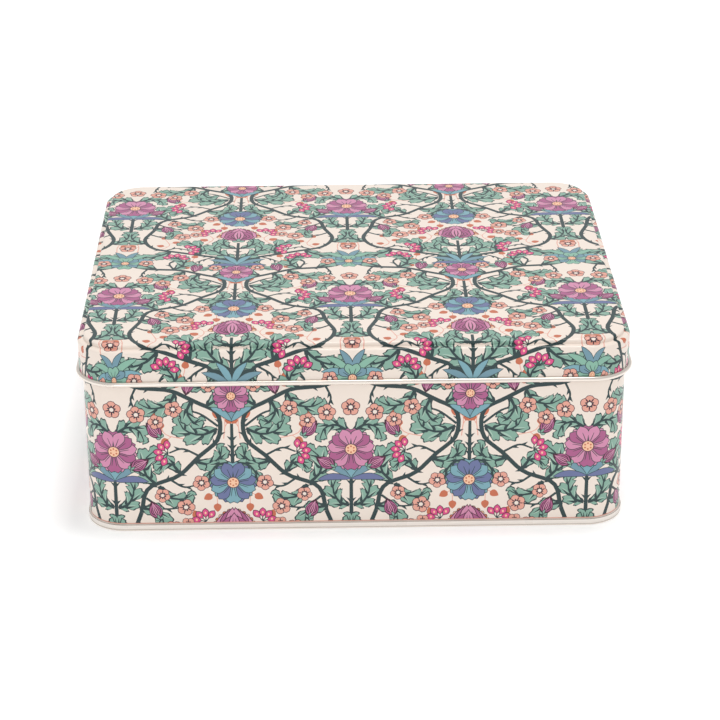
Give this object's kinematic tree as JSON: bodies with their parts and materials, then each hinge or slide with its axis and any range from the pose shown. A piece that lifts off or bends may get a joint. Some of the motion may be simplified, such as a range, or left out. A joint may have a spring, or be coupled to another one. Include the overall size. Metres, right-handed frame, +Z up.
{
  "type": "hinged tin box",
  "caption": "Rectangular lithographed tin box with rounded corners and a stepped, overlapping lid hinged along the back.",
  "frame": {"origin": "centre of the footprint on the plane the tin stands on", "axes": "+Z up, front face towards -Y, +X to the right seen from the front"},
  "size_m": [0.2024, 0.1684, 0.0746],
  "materials": {
    "printed_tin": "offset-printed tinplate under clear varnish",
    "rim_tin": "cream enamelled tinplate",
    "hinge_steel": "bright tinned steel",
    "pin_steel": "drawn steel wire"
  },
  "bodies": {
    "box": {"body_wall": "printed_tin", "base_plate": "rim_tin", "hinge_leaf_box_left": "hinge_steel", "hinge_leaf_box_right": "hinge_steel", "hinge_pin_left": "pin_steel", "hinge_pin_right": "pin_steel"},
    "lid": {"lid": "printed_tin", "hinge_leaf_lid_left": "hinge_steel", "hinge_leaf_lid_right": "hinge_steel"}
  },
  "joints": [
    {"name": "lid_hinge", "type": "hinge", "parent": "box", "child": "lid", "pos_m": [0, 0.08315, 0.05695], "axis": [-1, 0, 0], "range_deg": [0, 110]}
  ]
}
